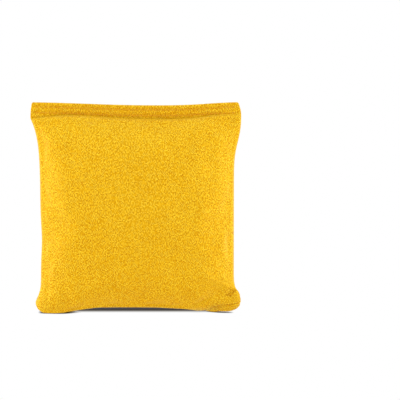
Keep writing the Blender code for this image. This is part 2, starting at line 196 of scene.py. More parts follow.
# Corn, as one body whose skin has the tops of the kernels
CORN_MARGIN_COLUMNS, CORN_MARGIN_ROWS = 6, 4  # columns and rows of the face's grid left clear at its edges
CORN_SLACK = 0.0004
KERNEL = 0.0076
KERNEL_RISE = 0.0013
KERNEL_SHIFT_SHARE = 0.3
KERNEL_SPREAD_SHARE = 0.62
KERNEL_KINDS = 64
CORN_SEED = 5
SLOT_HALF_WIDTH = 0.0019  # the corn lies open round the seam allowance and its thread
SLOT_DEPTH = 0.0085

# Faces
COLUMNS, FACE_ROWS, HEM_ROWS = 160, 120, 14
COARSE = 56  # faces across the simulated cloth
EVEN_SHARE = 0.5  # how evenly the columns and rows are spaced: 0 crowds them at the edges

# Simulation
FRAMES = 20
PRESSURE = 4.0
EXTRA_CLOTH_SHARE = 0.012
MOVE_CAP = 0.0050
LEAST_MOVE = 1e-9  # keeps a point that hasn't moved from a division by zero
START_CROWN_SHARE = 0.8  # the cloth starts flatter, because the simulation swells it
CLOTH_SETTINGS = {
    "quality": 6,
    "mass": 0.02,
    "tension_stiffness": 25,
    "compression_stiffness": 12,
    "shear_stiffness": 8,
    "bending_stiffness": 0.6,
    "shrink_min": -EXTRA_CLOTH_SHARE,
    "use_pressure": True,
    "uniform_pressure_force": PRESSURE,
    "vertex_group_mass": "pinned",
    "pin_stiffness": 0.5,
}


def smooth(x):
    """0 below 0, 1 above 1, and an even S between."""
    x = np.clip(x, 0, 1)
    return x * x * (3 - 2 * x)


def swell(share):
    return np.clip(1 - share * share, 0, None)


def spaced(count):
    """Shares from -1 to 1 that crowd a little towards both ends."""
    even = np.linspace(-1, 1, count + 1)
    return EVEN_SHARE * even + (1 - EVEN_SHARE) * np.sin(even * math.pi / 2)


def eased(across, values, places=HEM_PLACES, ease=HEM_EASE):
    """Values given at places across the bag, blended into each other."""
    shifts = np.linspace(-ease, ease, EASE_STEPS)
    return sum(np.interp(across + shift, places, values) for shift in shifts) / len(shifts)


def bottom_seam(across):
    """Height of the bottom seam, which rises between the corners and again to their tips."""
    height = eased(across, BOTTOM_HEIGHTS, BOTTOM_PLACES, BOTTOM_EASE)
    for side in (LEFT, RIGHT):
        past = np.clip((side * across - TIP_START_SHARE) / (1 - TIP_START_SHARE), 0, None)
        height = height + TIP_LIFT[side] * past**TIP_LIFT_POWER
    return height


def hem_top(across):
    return TOP - CANVAS / 2 - eased(across, HEM_DIPS)


def hem_height(across):
    return eased(across, HEM_HEIGHTS)


def hem_base(across):
    return hem_top(across) - hem_height(across)


def faded(distance, reach, power=2):
    """1 at no distance, and less the further a place is, in terms of the reach."""
    return np.exp(-((distance / reach) ** power))


def side_width(side, below_hem, height):
    """Half the width on one side, at a distance below the hem and a height above the floor."""
    below_hem = np.clip(below_hem, 0, None)
    above_floor = np.clip(height, 0, None)
    hem = HEM_FLARE[side] * faded(below_hem, HEM_REACH[side], HEM_FLARE_POWER[side])
    foot = FOOT_FLARE[side] * faded(above_floor, FOOT_REACH[side], FOOT_FLARE_POWER[side])
    hollow = SIDE_HOLLOW[side] * faded(height - SIDE_HOLLOW_HEIGHT, SIDE_HOLLOW_REACH)
    return WAIST[side] + hem + foot - hollow


def face_outline(across, up):
    """Places (x, z) of the face's points in the bag's plane."""
    low, high = bottom_seam(across), hem_base(across)
    z = low + (high - low) * (up + 1) / 2
    left, right = (side_width(side, high - z, z) for side in (LEFT, RIGHT))
    x = across * np.where(across < 0, left, right)
    tip = np.where(up < 0, CORNER_ROUND * np.abs(across * up) ** TIP_POWER, 0)
    return x - np.sign(across) * tip, z + tip


def crown(across, up):
    lower = (1 - up) / 2
    upward_power = np.where(up < 0, LOW_CROWN_POWER_SHARE, HIGH_CROWN_POWER_SHARE)
    sideways_power = HIGH_SIDE_POWER_SHARE + (LOW_SIDE_POWER_SHARE - HIGH_SIDE_POWER_SHARE) * lower
    slack = TOP_SLACK_SHARE * np.clip(up, 0, None)
    starts = zip((across, up), CORNER_SLACK_START_SHARES)
    past_across, past_up = (smooth((share - start) / (1 - start)) for share, start in starts)
    slack = slack + CORNER_SLACK_SHARE * past_across * past_up
    return swell(up) ** (upward_power / 2) * swell(across) ** (sideways_power / 2) * (1 - slack)


def face_surface(side, across, up, crown_share=1.0):
    """One face as an array of points, rows from the bottom up, measured from the seam's edge."""
    across, up = np.meshgrid(across, up)
    x, z = face_outline(across, up)
    return np.stack([x, side * crown_share * CROWN * crown(across, up), z], axis=-1)


def rim_of(rows, columns):
    """Indices of a grid's left, bottom and right edge, from the top left round to the top right."""
    down = [row * columns for row in range(rows - 1, 0, -1)]
    along = list(range(columns))
    up = [row * columns + columns - 1 for row in range(1, rows)]
    return down + along + up


def grid_faces(rows, columns):
    """Faces of a grid of points, counter-clockwise as seen from the front."""
    return [
        (r * columns + c, r * columns + c + 1, (r + 1) * columns + c + 1, (r + 1) * columns + c)
        for r in range(rows - 1)
        for c in range(columns - 1)
    ]


def add_piece(name, points, faces, *attributes):
    """A smooth-shaded mesh object of the points that its faces use.

    attributes are named values at the points, given as (name, kind, values).
    """
    used = np.unique(np.concatenate([np.asarray(face) for face in faces]))
    place = np.zeros(len(points), dtype=int)
    place[used] = np.arange(len(used))
    mesh = bpy.data.meshes.new(name)
    mesh.from_pydata(np.asarray(points)[used].tolist(), [], [place[list(face)].tolist() for face in faces])
    mesh.update()
    for label, kind, values in attributes:
        layer = mesh.attributes.new(label, kind, "POINT")
        field = "vector" if kind == "FLOAT_VECTOR" else "value"
        layer.data.foreach_set(field, np.asarray(values, dtype=np.float32)[used].ravel())
    mesh.shade_smooth()
    piece = bpy.data.objects.new(name, mesh)
    bpy.context.scene.collection.objects.link(piece)
    return piece


def spline_weights(coarse, fine):
    """Weights that carry values on coarse + 1 points smoothly to fine + 1 points, ends kept."""
    weights = np.zeros((fine + 1, coarse + 1))
    for row, place in enumerate(np.linspace(0, coarse, fine + 1)):
        first = min(int(place), coarse - 1)
        f = place - first
        blend = ((1 - f) ** 3, 4 - 6 * f**2 + 3 * f**3, 1 + 3 * f + 3 * f**2 - 3 * f**3, f**3)
        for offset, weight in enumerate(blend):
            spot = first - 1 + offset
            if spot < 0:
                weights[row, 0] += 2 * weight / 6
                weights[row, 1] -= weight / 6
            elif spot > coarse:
                weights[row, coarse] += 2 * weight / 6
                weights[row, coarse - 1] -= weight / 6
            else:
                weights[row, spot] += weight / 6
    return weights


def settled_moves():
    """How far each point of the two full faces is from where the filled cloth settles: (front, back)."""
    across, up = spaced(COARSE), spaced(COARSE)
    full = [face_surface(side, across, up) for side in (FRONT, BACK)]
    front, back = (face_surface(side, across, up, START_CROWN_SHARE) for side in (FRONT, BACK))
    side = COARSE + 1
    count = side * side
    back_ids = np.arange(count, 2 * count).reshape(side, side)
    front_ids = np.arange(count).reshape(side, side)
    for edge in (np.s_[0, :], np.s_[-1, :], np.s_[:, 0], np.s_[:, -1]):
        back_ids[edge] = front_ids[edge]
    back_ids = back_ids.ravel()
    faces = grid_faces(side, side)
    faces += [tuple(int(back_ids[i]) for i in reversed(face)) for face in grid_faces(side, side)]
    points = np.concatenate([front.reshape(-1, 3), back.reshape(-1, 3)])
    used = np.unique(np.array(faces))
    place = {int(old): new for new, old in enumerate(used)}
    cloth = add_piece("settling_cloth", points, faces)
    pinned = cloth.vertex_groups.new(name="pinned")
    rim = set(rim_of(side, side)) | set(range(count - side, count))
    pinned.add([place[i] for i in rim], 1.0, "REPLACE")
    settle = cloth.modifiers.new("Settle", "CLOTH")
    for setting, value in CLOTH_SETTINGS.items():
        setattr(settle.settings, setting, value)
    settle.settings.effector_weights.gravity = 0
    scene = bpy.context.scene
    for step in range(1, FRAMES + 1):
        scene.frame_set(step)
    moved = cloth.evaluated_get(bpy.context.evaluated_depsgraph_get()).data
    after = np.empty(3 * len(moved.vertices), dtype=np.float32)
    moved.vertices.foreach_get("co", after)
    scene.frame_set(1)
    bpy.data.objects.remove(cloth)
    result = points.copy()
    result[used] = after.reshape(-1, 3)
    moves = result - points
    length = np.linalg.norm(moves, axis=1, keepdims=True)
    moves *= np.minimum(1, MOVE_CAP / np.maximum(length, LEAST_MOVE))
    front_moves = front + moves[:count].reshape(side, side, 3) - full[0]
    back_moves = back + moves[back_ids].reshape(side, side, 3) - full[1]
    return front_moves, back_moves


def travelled(points, axis):
    """Distance along the cloth from the middle of each row or column of points."""
    steps = np.linalg.norm(np.diff(points, axis=axis), axis=-1)
    total = np.cumsum(steps, axis=axis)
    zero = np.zeros_like(np.take(total, [0], axis=axis))
    total = np.concatenate([zero, total], axis=axis)
    middle = total.shape[axis] // 2
    return total - np.take(total, [middle], axis=axis)


def hem_half_width(side, rise):
    return WAIST[side] + HEM_FLARE[side] - HEM_TAPER[side] * rise**HEM_TAPER_POWER


def hem_pull(drop):
    """How far the two rows of stitches pull the hem in, at a distance below its top edge."""
    return HEM_PULL * sum(faded(drop - row, HEM_PULL_WIDTH) for row in (UPPER_ROW, LOWER_ROW))


def hem_point(side, across, rise):
    """Places on the middle of the hem's outer layer, at shares across the bag and up the hem."""
    left, right = (hem_half_width(end, rise) for end in (LEFT, RIGHT))
    x = across * np.where(across < 0, left, right)
    height = hem_height(across)
    z = hem_base(across) + height * rise
    depth = HEM_PLANE - hem_pull(height * (1 - rise))
    return np.stack([x, side * depth, z], axis=-1)


def face_grid(side, moves):
    """One panel's face as rows of points from the bottom up."""
    face = face_surface(side, spaced(COLUMNS), spaced(FACE_ROWS))
    if moves is not None:
        rows = spline_weights(COARSE, FACE_ROWS)
        columns = spline_weights(COARSE, COLUMNS)
        face = face + np.einsum("rk,klc,sl->rsc", rows, moves, columns)
    face[..., 1] += side * EDGE_DEPTH
    return face


def panel_grid(side, moves):
    """One panel's face and hem as rows of points from the bottom to the end of the turned-in layer."""
    across = spaced(COLUMNS)
    face = face_grid(side, moves)
    rises = np.linspace(0, 1, HEM_ROWS + 1)[1:]
    hem = np.stack([hem_point(side, across, rise) for rise in rises])
    fold_radius = (HEM_PLANE - SEAM_PLANE) / 2
    folds = []
    for angle in np.linspace(0, math.pi, HEM_FOLD_STEPS + 1)[1:]:
        turned = hem[-1].copy()
        turned[:, 1] = side * (SEAM_PLANE + fold_radius * (1 + math.cos(angle)))
        turned[:, 2] += fold_radius * math.sin(angle) * HEM_FOLD_RISE_SHARE
        folds.append(turned)
    inner = []
    for drop in np.linspace(0, HEM_TURN_IN, HEM_TURN_IN_STEPS + 1)[1:]:
        lowered = folds[-1].copy()
        lowered[:, 2] -= drop
        inner.append(lowered)
    return np.concatenate([face, hem, np.stack(folds), np.stack(inner)])


# How the cloth turns in from the face's edge to the seam, and on into the allowance: (distance in, depth)
EDGE_TURN = (
    (-EDGE_BULGE, EDGE_DEPTH - EDGE_BULGE_DEPTH),
    (0.0, SEAM_PLANE + EDGE_LIP),
    (SEAM_SINK, SEAM_PLANE),
)
ALLOWANCE_TURN = tuple((SEAM_SINK + ALLOWANCE * share, SEAM_PLANE) for share in ALLOWANCE_SHARES)


def reach_along(points):
    """Distance from the first point to each of a row of points."""
    return np.concatenate([[0], np.cumsum(np.linalg.norm(np.diff(points, axis=0), axis=1))])


def outward(points):
    """Directions out of the bag, in its plane, along its edge from the top left round to the top right."""
    flat = points.copy()
    flat[:, 1] = 0
    along = np.gradient(flat, axis=0)
    out = np.stack([along[:, 2], np.zeros(len(flat)), -along[:, 0]], axis=-1)
    return out / np.linalg.norm(out, axis=1, keepdims=True)


def make_panel(name, side, moves):
    """One canvas panel: its face, hem, and the seam allowance turned in round it."""
    grid = panel_grid(side, moves)
    rows, columns = grid.shape[:2]
    shown = FACE_ROWS + 1 + HEM_ROWS
    cloth = np.zeros_like(grid)
    cloth[..., 0] = travelled(grid, 1)
    cloth[..., 1] = travelled(grid, 0)[:, columns // 2][:, None]
    points, coordinates = [grid.reshape(-1, 3)], [cloth.reshape(-1, 3)]
    faces = grid_faces(rows, columns)
    rim = np.array(rim_of(shown, columns))
    edge = points[0][rim]
    out = outward(edge)
    corners = (shown - 1, shown - 1 + columns - 1)
    reach = reach_along(edge)
    clear = np.minimum.reduce([np.abs(reach - reach[corner]) for corner in corners])
    clear = np.minimum(clear, np.minimum(reach, reach[-1] - reach) + CORNER_CLIP)
    last, start = rim, rows * columns
    for row, (inset, depth) in enumerate(EDGE_TURN + ALLOWANCE_TURN):
        placed = edge - out * inset
        placed[:, 1] = side * depth
        points.append(placed)
        spread = coordinates[0][rim] + out[:, [0, 2, 1]] * (EDGE_ROLL + inset)
        coordinates.append(spread)
        fresh = np.arange(start, start + len(rim))
        for k in range(len(rim) - 1):
            if row < len(EDGE_TURN) or min(clear[k], clear[k + 1]) > CORNER_CLIP - LEAST_CLEAR:
                faces.append((int(fresh[k]), int(fresh[k + 1]), int(last[k + 1]), int(last[k])))
        last, start = fresh, start + len(rim)
    points = sculpted(np.concatenate(points))
    coordinates = np.concatenate(coordinates)
    coordinates[:, 2] = side
    if side == BACK:
        faces = [tuple(reversed(face)) for face in faces]
    panel = add_piece(name, points, faces, ("cloth", "FLOAT_VECTOR", coordinates))
    bpy.context.view_layer.objects.active = panel
    thick = panel.modifiers.new("Cloth thickness", "SOLIDIFY")
    thick.thickness = CANVAS
    thick.offset = 0
    return panel


def leaning(points):
    """Leans the hem forward from just below its base, and curls it forward out of the crease."""
    x, y, z = points.T
    above = np.clip(z - hem_base(x / HALF_WIDTH) + HEM_LEAN_START, 0, None)
    slope = eased(x / HALF_WIDTH, HEM_LEAN_SLOPES)
    curl = HEM_CURL * slope / max(HEM_LEAN_SLOPES) * (1 - faded(above, HEM_CURL_REACH, 1))
    return np.stack([x, y - slope * above - curl, z], axis=-1)


def ridged(points):
    """Raises the front cloth into a ridge just above its bottom seam and a shelf just below its hem."""
    x, y, z = points.T
    above = z - bottom_seam(x / HALF_WIDTH)
    below = hem_base(x / HALF_WIDTH) - z
    ridge = RIDGE_HEIGHT * faded(above - RIDGE_PLACE, RIDGE_WIDTH)
    shelf = SHELF_HEIGHT * faded(below - SHELF_PLACE, SHELF_WIDTH)
    return np.stack([x, np.where(y < -SEAM_PLANE, y - ridge - shelf, y), z], axis=-1)


def rolled(points):
    """At the folded corner the front cloth rolls over the seam, and the back cloth is hollow behind it."""
    x, y, z = points.T
    above = z - bottom_seam(x / HALF_WIDTH)
    near = faded(x - LIP_MIDDLE, LIP_REACH) * faded(above, LIP_RISE)
    lip = np.where(y < 0, LIP_DEPTH * faded(y - LIP_PLACE, LIP_WIDTH), 0)
    hollow = np.where(y > 0, HOLLOW_HEIGHT * faded(y - HOLLOW_PLACE, HOLLOW_WIDTH), 0)
    return np.stack([x, y, z + near * (hollow - lip)], axis=-1)


def folded(points):
    """Bends the lower right corner forward round an arc, evenly from the fold's height down."""
    x, y, z = points.T
    turn = FOLD_TURN * smooth((x - FOLD_START) / (FOLD_END - FOLD_START))
    bend = np.maximum(turn, LEAST_TURN) / FOLD_HEIGHT
    angle = bend * np.clip(FOLD_HEIGHT - z, 0, None)
    forward = FOLD_FORWARD_SHARE * (1 - np.cos(angle)) / bend
    drop = np.sin(angle) / bend
    y = np.where(y > 0, y * (1 - FOLD_THIN_SHARE * angle / FOLD_TURN), y)
    bent_y = y * np.cos(angle) - forward
    bent_z = FOLD_HEIGHT - drop - y * np.sin(angle)
    return np.stack([x, bent_y, np.where(z < FOLD_HEIGHT, bent_z, z)], axis=-1)


def lump_heights(x, z, seed):
    """A smooth random height between about -1 and 1 at each point."""
    random = np.random.default_rng(seed)
    total = np.zeros_like(x)
    for _ in range(LUMP_WAVES):
        heading = random.uniform(0, math.pi)
        turns = 2 * math.pi / random.uniform(*LUMP_LENGTHS)
        phase = random.uniform(0, 2 * math.pi)
        total += np.cos(turns * (x * math.cos(heading) + z * math.sin(heading)) + phase)
    return total / math.sqrt(LUMP_WAVES)


def lumpy(points):
    """The corn shows as faint lumps where the cloth lies over it, and not at the seams."""
    x, y, z = points.T
    share = smooth(np.abs(y) / LUMP_DEPTH)
    lumps = np.where(y < 0, lump_heights(x, z, LUMP_SEED), lump_heights(x, z, LUMP_SEED + 1))
    return np.stack([x, y + np.sign(y) * LUMP_HEIGHT * share * lumps, z], axis=-1)


def dented(points):
    """Pushes each dent into the front cloth."""
    x, y, z = points.T
    front = smooth(-y / EDGE_DEPTH / 2)
    for (dent_x, dent_z), heading, length, width, depth in DENTS:
        along = (x - dent_x) * math.cos(heading) + (z - dent_z) * math.sin(heading)
        aside = (z - dent_z) * math.cos(heading) - (x - dent_x) * math.sin(heading)
        y = y + front * depth * faded(along, length, DENT_POWER) * faded(aside, width, DENT_POWER)
    return np.stack([x, y, z], axis=-1)


def on_floor(points):
    """Presses flat what would lie lower than half the cloth's thickness above the floor."""
    x, y, z = points.T
    rest = CANVAS / 2
    return np.stack([x, y, rest + FLOOR_BLEND * np.logaddexp(0, (z - rest) / FLOOR_BLEND)], axis=-1)


def sculpted(points):
    """Everything that shapes the bag after it has settled, the corner's bend and the floor last."""
    return on_floor(folded(rolled(dented(lumpy(ridged(leaning(points)))))))


def swept(paths, radius, sides):
    """Round threads along paths of points, closed at both ends: (points, faces)."""
    points, faces = [], []
    for path in paths:
        path = np.asarray(path)
        along = np.gradient(path, axis=0)
        along /= np.linalg.norm(along, axis=1, keepdims=True)
        first = np.cross(along, (0.0, 0.0, 1.0) if abs(along[0][2]) < STEEP_SHARE else (0.0, 1.0, 0.0))
        first /= np.linalg.norm(first, axis=1, keepdims=True)
        second = np.cross(along, first)
        start = len(points)
        for k, place in enumerate(path):
            share = k / (len(path) - 1)
            thick = radius * (THREAD_END_SHARE if k in (0, len(path) - 1) else 1.0)
            for corner in range(sides):
                angle = 2 * math.pi * (corner / sides + THREAD_TWIST_SHARE * share)
                points.append(place + thick * (math.cos(angle) * first[k] + math.sin(angle) * second[k]))
        for k in range(len(path) - 1):
            for corner in range(sides):
                a = start + k * sides + corner
                b = start + k * sides + (corner + 1) % sides
                faces.append((a, b, b + sides, a + sides))
        faces.append(tuple(start + corner for corner in reversed(range(sides))))
        faces.append(tuple(start + (len(path) - 1) * sides + corner for corner in range(sides)))
    return np.array(points), faces


def make_hem_stitches(name, side, drop):
    """One row of stitches on one side of the hem, each dipping into the cloth at both ends."""
    reach = [hem_half_width(end, 1) - ROW_MARGIN for end in (LEFT, RIGHT)]
    whole = sum(reach)
    count = round(whole / STITCH)
    pitch = whole / count
    dip = THREAD * STITCH_DIP_SHARE
    paths = []
    for k in range(count):
        path = []
        for share in np.linspace(0, 1, STITCH_POINTS):
            x = -reach[0] + pitch * k + STITCH_GAP / 2 + (pitch - STITCH_GAP) * share
            across = x / (HALF_WIDTH - CANVAS / 2)
            rise = 1 - drop / hem_height(across)
            arch = (STITCH_RISE + dip) * math.sin(math.pi * share) ** STITCH_ARCH_POWER - dip
            place = hem_point(side, np.array(across), rise)
            place[0] = x
            place[1] += side * (CANVAS / 2 + THREAD / 2 + arch)
            path.append(place)
        paths.append(path)
    points, faces = swept(paths, THREAD / 2, THREAD_SIDES)
    return add_piece(name, sculpted(points), faces)


def seam_edge():
    """The edge along which the seam runs, its directions outward, and the distance along it."""
    across, up = spaced(COLUMNS), spaced(FACE_ROWS)
    x, z = face_outline(*np.meshgrid(across, up))
    flat = np.stack([x, 0 * x, z], axis=-1).reshape(-1, 3)
    edge = flat[np.array(rim_of(len(up), len(across)))]
    return edge, outward(edge), reach_along(edge)


def along_edge(spots, reach, values):
    """Points or directions given along the edge, at other distances along it."""
    return np.stack([np.interp(spots, reach, values[:, axis]) for axis in range(3)], axis=-1)


def make_seam_stitches(name):
    """The seam's stitches, as they show across the crease between the panels."""
    edge, out, reach = seam_edge()
    shares = np.linspace(-1, 1, SEAM_STITCH_POINTS)
    sink = SEAM_SINK * SEAM_STITCH_SINK_SHARE + SEAM_STITCH_DIP * shares**2
    paths = []
    for start in np.arange(SEAM_PITCH, reach[-1] - SEAM_PITCH, SEAM_PITCH):
        spots = start + SEAM_STITCH / 2 * shares
        paths.append(along_edge(spots, reach, edge) - along_edge(spots, reach, out) * sink[:, None])
    points, faces = swept(paths, SEAM_THREAD / 2, SEAM_THREAD_SIDES)
    return add_piece(name, sculpted(points), faces)


def make_inner_stitches(name, side, first, last):
    """The seam's second row, through the turned-in cloth, between two shares of the way round the edge."""
    edge, out, reach = seam_edge()
    row = edge - out * (SEAM_SINK + INNER_ROW)
    row[:, 1] = side * (SEAM_PLANE + (CANVAS + SEAM_THREAD) / 2)
    shares = np.linspace(-1, 1, SEAM_STITCH_POINTS)
    count = round((last - first) * reach[-1] / SEAM_PITCH)
    paths = []
    for start in np.linspace(first, last, count) * reach[-1]:
        path = along_edge(start + (SEAM_PITCH - STITCH_GAP) / 2 * shares, reach, row)
        path[:, 1] -= side * SEAM_THREAD * shares**INNER_DIP_POWER
        paths.append(path)
    points, faces = swept(paths, SEAM_THREAD / 2, SEAM_THREAD_SIDES)
    return add_piece(name, sculpted(points), faces)


def kernel_tops(x, z, seed):
    """1 over the middle of each kernel of a layer that lies flat, and 0 between kernels."""
    shifts = np.random.default_rng(seed).uniform(-1, 1, (KERNEL_KINDS, KERNEL_KINDS, 2)) * KERNEL_SHIFT_SHARE
    x, z = x / KERNEL, z / KERNEL
    nearest = np.full(x.shape, np.inf)
    for beside in (-1, 0, 1):
        for above in (-1, 0, 1):
            column, row = np.floor(x) + beside, np.floor(z) + above
            shift = shifts[column.astype(int) % KERNEL_KINDS, row.astype(int) % KERNEL_KINDS]
            gap = np.hypot(x - column - 0.5 - shift[..., 0], z - row - 0.5 - shift[..., 1])
            nearest = np.minimum(nearest, gap)
    return np.sqrt(np.clip(1 - (nearest / KERNEL_SPREAD_SHARE) ** 2, 0, None))


def make_corn(name, front_moves, back_moves):
    """The fill, close under both covers, open round the seam allowance and closed behind it."""
    rings, points, faces, start = [], [], [], 0
    for side, moves in ((FRONT, front_moves), (BACK, back_moves)):
        grid = face_grid(side, moves)
        grid = grid[CORN_MARGIN_ROWS:-CORN_MARGIN_ROWS, CORN_MARGIN_COLUMNS:-CORN_MARGIN_COLUMNS]
        hollow = KERNEL_RISE * (1 - kernel_tops(grid[..., 0], grid[..., 2], CORN_SEED + side))
        grid[..., 1] -= side * (CANVAS / 2 + CORN_SLACK + hollow)
        rows, columns = grid.shape[:2]
        skin = [tuple(start + i for i in face) for face in grid_faces(rows, columns)]
        faces += skin if side == FRONT else [tuple(reversed(face)) for face in skin]
        points.append(grid.reshape(-1, 3))
        rim = np.array(rim_of(rows, columns) + [rows * columns - 1 - k for k in range(columns)][:-1])
        edge = points[-1][rim]
        lip = edge.copy()
        lip[:, 1] = side * SLOT_HALF_WIDTH
        flat = lip[:, [0, 2]]
        along = np.roll(flat, -1, axis=0) - np.roll(flat, 1, axis=0)
        along /= np.linalg.norm(along, axis=1, keepdims=True)
        deep = lip.copy()
        deep[:, 0] -= along[:, 1] * SLOT_DEPTH
        deep[:, 2] += along[:, 0] * SLOT_DEPTH
        base = start + rows * columns
        rings.append([start + rim, base + np.arange(len(rim)), base + len(rim) + np.arange(len(rim))])
        points += [lip, deep]
        start = base + 2 * len(rim)
    (front_edge, front_lip, front_deep), (back_edge, back_lip, back_deep) = rings
    bands = ((front_edge, front_lip), (front_lip, front_deep), (front_deep, back_deep),
             (back_deep, back_lip), (back_lip, back_edge))
    for outer, inner in bands:
        count = len(outer)
        for k in range(count):
            after = (k + 1) % count
            faces.append((int(inner[k]), int(inner[after]), int(outer[after]), int(outer[k])))
    return add_piece(name, sculpted(np.concatenate(points)), faces)


def new_material(name):
    made = bpy.data.materials.new(name)
    made.use_nodes = True
    return made, made.node_tree, made.node_tree.nodes["Principled BSDF"]


def link(tree, value, socket):
    """Sets a socket to a number or colour, or joins another socket to it."""
    if isinstance(value, bpy.types.NodeSocket):
        tree.links.new(value, socket)
    else:
        socket.default_value = value


def math_node(tree, operation, *values):
    node = tree.nodes.new("ShaderNodeMath")
    node.operation = operation
    for value, socket in zip(values, node.inputs):
        link(tree, value, socket)
    return node.outputs[0]


def mix_colour(tree, share, low, high, blend="MIX"):
    node = tree.nodes.new("ShaderNodeMix")
    node.data_type = "RGBA"
    node.blend_type = blend
    link(tree, share, node.inputs["Factor"])
    link(tree, low, node.inputs["A"])
    link(tree, high, node.inputs["B"])
    return node.outputs["Result"]


def ranged(tree, value, low, high, out_low=0.0, out_high=1.0):
    """Carries a value from one range to another, and holds it there."""
    node = tree.nodes.new("ShaderNodeMapRange")
    link(tree, value, node.inputs["Value"])
    node.inputs["From Min"].default_value = low
    node.inputs["From Max"].default_value = high
    node.inputs["To Min"].default_value = out_low
    node.inputs["To Max"].default_value = out_high
    return node.outputs[0]


def ramp(tree, value, colours):
    """A colour from an even row of colours, by a value from 0 to 1."""
    node = tree.nodes.new("ShaderNodeValToRGB")
    steps = node.color_ramp.elements
    while len(steps) < len(colours):
        steps.new(0.5)
    for k, colour in enumerate(colours):
        steps[k].position = k / (len(colours) - 1)
        steps[k].color = colour
    link(tree, value, node.inputs["Fac"])
    return node.outputs["Color"]


def combine(tree, x, y, z):
    node = tree.nodes.new("ShaderNodeCombineXYZ")
    for value, socket in zip((x, y, z), node.inputs):
        link(tree, value, socket)
    return node.outputs[0]


def noise(tree, place, scale, detail=2.0):
    node = tree.nodes.new("ShaderNodeTexNoise")
    link(tree, place, node.inputs["Vector"])
    node.inputs["Scale"].default_value = scale
    node.inputs["Detail"].default_value = detail
    return node.outputs["Fac"]


def speckle(tree, place):
    node = tree.nodes.new("ShaderNodeTexWhiteNoise")
    link(tree, place, node.inputs["Vector"])
    return node.outputs["Value"]


def add_bump(tree, surface, height, strength, distance):
    bump = tree.nodes.new("ShaderNodeBump")
    bump.inputs["Strength"].default_value = strength
    bump.inputs["Distance"].default_value = distance
    tree.links.new(height, bump.inputs["Height"])
    tree.links.new(bump.outputs["Normal"], surface.inputs["Normal"])


# Canvas
WARP, WEFT = 0.00062, 0.00086  # pitch of the threads up the cloth and across it
WANDER, WANDER_SCALE = 0.0012, 90.0  # how far the threads wander, and how fast that changes
YARN_ROUND_POWER = 0.6  # the lower, the flatter the yarns lie
YARN_END_SHARE = 0.45  # how high a yarn still is where it dips under its neighbour
MIDDLE = 0.5  # of any noise
WARP_TONE_STEP, WEFT_TONE_STEP = 7.31, 5.77  # so far apart in the noise that each yarn has its own tones
WARP_TONE_SCALE, WEFT_TONE_SCALE = 170.0, 160.0  # how fast a yarn's tone changes along it
WARP_TONE_SHARE, WEFT_TONE_SHARE = 0.7, 0.3
BROAD_SCALE = 40.0
NEIGHBOURS = 4
NEIGHBOUR_DIVISOR = 6.0  # a yarn's own spot differs from its neighbours' by their sum over this
OVER_SHARE, TONE_SHARE, BROAD_SHARE, SPOT_SHARE = 0.35, 0.8, 0.2, 1.3  # of each in the shade
SHADE_REACH = 0.6
YARN_COLOURS = ((0.57, 0.24, 0.0005, 1.0), (0.82, 0.465, 0.003, 1.0), (0.985, 0.73, 0.045, 1.0))
# Painted shade: the yarns are coloured darker where they dip low into the gaps between them
GAP_PAINTED_SHADE = (0.55, 0.21, 0.001, 1.0)
GAP_PAINTED_SHADE_HEIGHTS = (0.02, 0.3)  # up to which the painted shade in the gaps shows in full, and at all
CANVAS_ROUGHNESS = (0.95, 0.8)  # in the gaps and on the yarns
CANVAS_SHEEN, CANVAS_SHEEN_ROUGHNESS = 0.42, 0.4
CANVAS_SHEEN_TINT = (0.6, 0.85, 0.55, 1.0)
CANVAS_SPECULAR = 0.08
CANVAS_BUMP, CANVAS_BUMP_HEIGHT = 0.55, 0.00022


def yarn_arch(tree, place):
    """0 at both edges of each yarn and 1 on its middle, by the place in yarns."""
    return math_node(tree, "SINE", math_node(tree, "MULTIPLY", math_node(tree, "FRACT", place), math.pi))


def yarn_height(tree, arch_beside, arch_along):
    """Height of a yarn between where it comes up and where it dips under."""
    rounded = math_node(tree, "POWER", arch_beside, YARN_ROUND_POWER)
    return math_node(tree, "MULTIPLY", rounded, ranged(tree, arch_along, 0, 1, YARN_END_SHARE, 1.0))


def yarn_spots(tree, column, row, side):
    """A speckle of its own for each place where two yarns cross, set off from its four neighbours."""
    around = []
    for step in (-1.0, 1.0):
        around.append(speckle(tree, combine(tree, math_node(tree, "ADD", column, step), row, side)))
        around.append(speckle(tree, combine(tree, column, math_node(tree, "ADD", row, step), side)))
    total = around[0]
    for spot in around[1:]:
        total = math_node(tree, "ADD", total, spot)
    own = speckle(tree, combine(tree, column, row, side))
    spots = math_node(tree, "SUBTRACT", own, math_node(tree, "DIVIDE", total, NEIGHBOUR_DIVISOR))
    return math_node(tree, "SUBTRACT", spots, MIDDLE - MIDDLE * NEIGHBOURS / NEIGHBOUR_DIVISOR)


